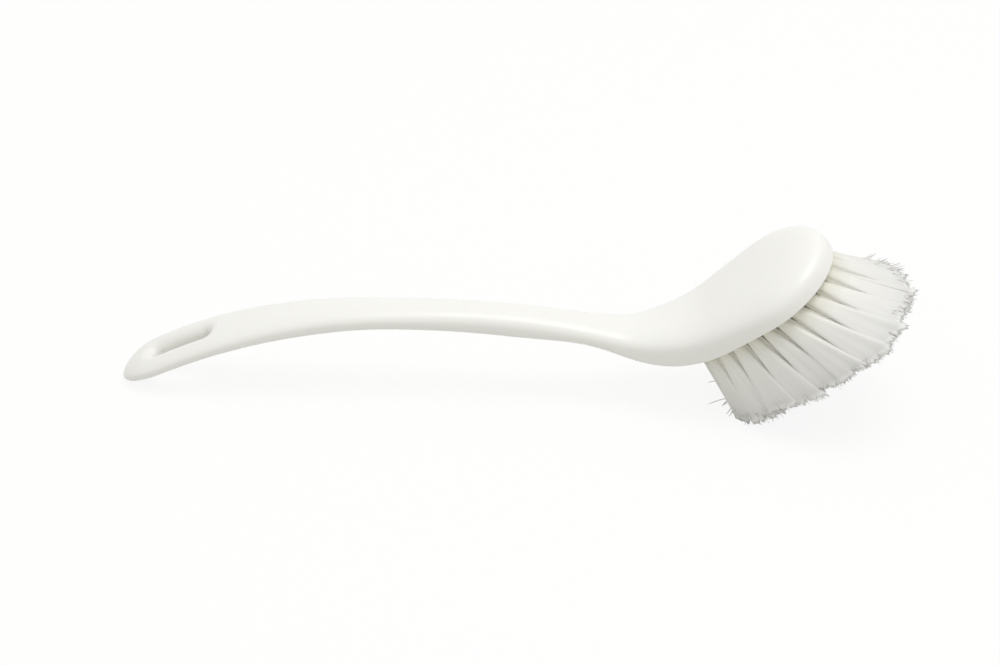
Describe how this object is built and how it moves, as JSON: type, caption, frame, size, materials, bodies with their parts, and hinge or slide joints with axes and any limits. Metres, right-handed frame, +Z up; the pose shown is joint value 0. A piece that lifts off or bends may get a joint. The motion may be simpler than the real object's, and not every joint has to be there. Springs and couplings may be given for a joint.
{
  "type": "dish brush",
  "caption": "Dish brush with an arched one-piece handle, a hang slot at its end and a tilted spoon-shaped head carrying splayed tufts of bristle for scrubbing dishes.",
  "frame": {"origin": "middle of the bounding box in X and Y, on the table under the brush", "axes": "+X from the handle end to the toe of the head, +Z up from the table, and the mirror plane of the brush at y = 0"},
  "size_m": [0.278, 0.0654, 0.0652],
  "materials": {
    "body": "satin moulded polypropylene, white",
    "bristles": "polyester filament, off-white",
    "anchors": "flat drawn wire"
  },
  "bodies": {
    "root": {"anchor_inner_01": "anchors", "anchor_inner_02": "anchors", "anchor_inner_03": "anchors", "anchor_inner_04": "anchors", "anchor_inner_05": "anchors", "anchor_inner_06": "anchors", "anchor_middle_01": "anchors", "anchor_middle_02": "anchors", "anchor_middle_03": "anchors", "anchor_middle_04": "anchors", "anchor_middle_05": "anchors", "anchor_middle_06": "anchors", "anchor_middle_07": "anchors", "anchor_middle_08": "anchors", "anchor_middle_09": "anchors", "anchor_middle_10": "anchors", "anchor_middle_11": "anchors", "anchor_middle_12": "anchors", "anchor_middle_13": "anchors", "anchor_middle_14": "anchors", "anchor_outer_01": "anchors", "anchor_outer_02": "anchors", "anchor_outer_03": "anchors", "anchor_outer_04": "anchors", "anchor_outer_05": "anchors", "anchor_outer_06": "anchors", "anchor_outer_07": "anchors", "anchor_outer_08": "anchors", "anchor_outer_09": "anchors", "anchor_outer_10": "anchors", "anchor_outer_11": "anchors", "anchor_outer_12": "anchors", "anchor_outer_13": "anchors", "anchor_outer_14": "anchors", "anchor_outer_15": "anchors", "anchor_outer_16": "anchors", "anchor_outer_17": "anchors", "anchor_outer_18": "anchors", "anchor_outer_19": "anchors", "anchor_outer_20": "anchors", "anchor_outer_21": "anchors", "anchor_outer_22": "anchors", "anchor_outer_23": "anchors", "anchor_outer_24": "anchors", "bristles_inner": "bristles", "bristles_middle": "bristles", "bristles_outer": "bristles", "brush_body": "body"}
  },
  "joints": []
}
